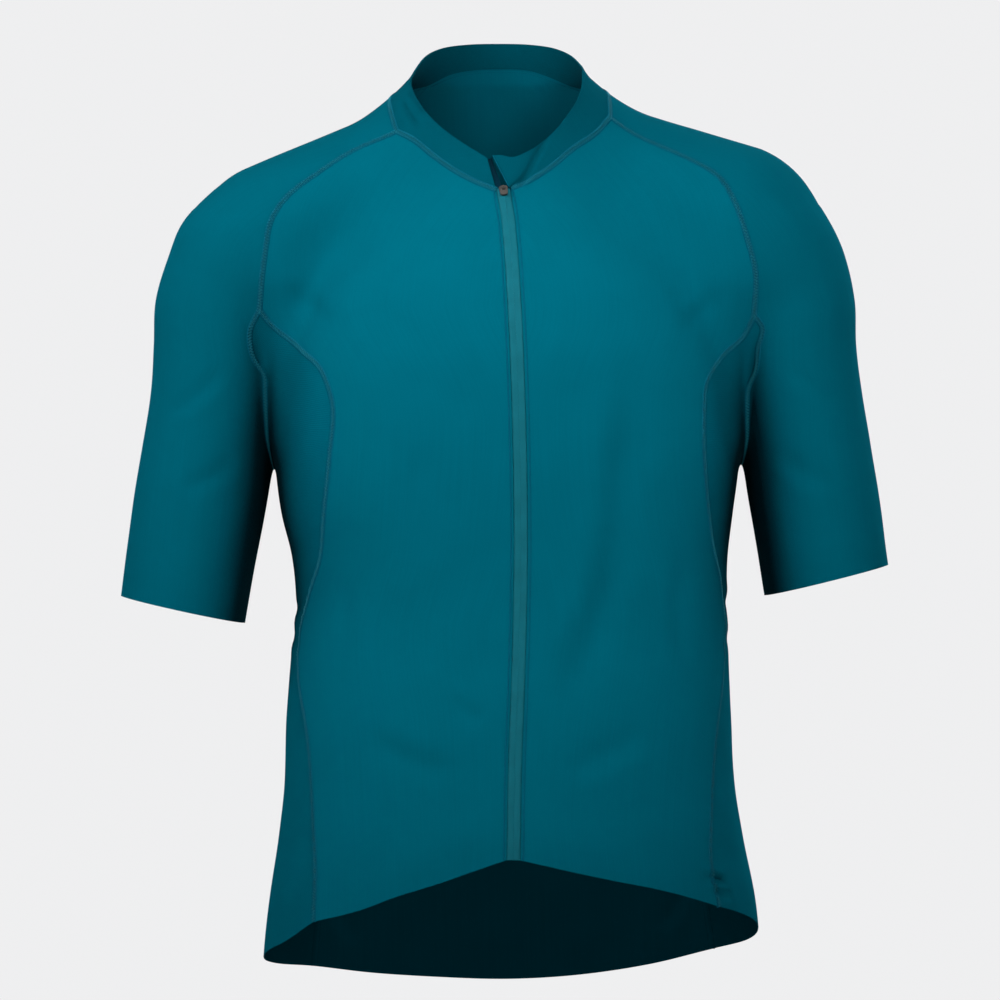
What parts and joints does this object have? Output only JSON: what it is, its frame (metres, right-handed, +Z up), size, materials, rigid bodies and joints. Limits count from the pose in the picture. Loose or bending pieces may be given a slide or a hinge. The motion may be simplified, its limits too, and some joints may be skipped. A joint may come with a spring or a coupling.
{
  "type": "cycling jersey",
  "caption": "Short-sleeved cycling jersey in its hollow worn form, with a stand collar, full front zip, raglan sleeves, fine mesh side panels and rear pockets.",
  "frame": {"origin": "in the middle of the neck, at the height of the shoulders, where the wearer carries the garment", "axes": "+X to the wearer's left, -Y to the front, +Z up along the trunk"},
  "size_m": [0.5971, 0.2431, 0.7479],
  "materials": {
    "front": "matte",
    "back": "matte",
    "side": "matte",
    "sleeve": "matte",
    "collar": "matte",
    "zip_tape": "matte",
    "metal": "satin"
  },
  "bodies": {
    "garment": {"front_right": "front", "front_left": "front", "back": "back", "side_right": "side", "side_left": "side", "sleeve_right": "sleeve", "sleeve_left": "sleeve", "collar": "collar", "zip_garage": "collar", "zip_tape_right": "zip_tape", "zip_tape_left": "zip_tape", "rear_pockets": "back", "zip_slider": "metal"},
    "pull_tab": {"pull_tab": "metal"}
  },
  "joints": [
    {"name": "pull_tab_hinge", "type": "hinge", "parent": "garment", "child": "pull_tab", "pos_m": [-0.00221, -0.08571, -0.05882], "axis": [-0.9889, -0.0574, -0.1372], "range_deg": [0, 150]}
  ]
}
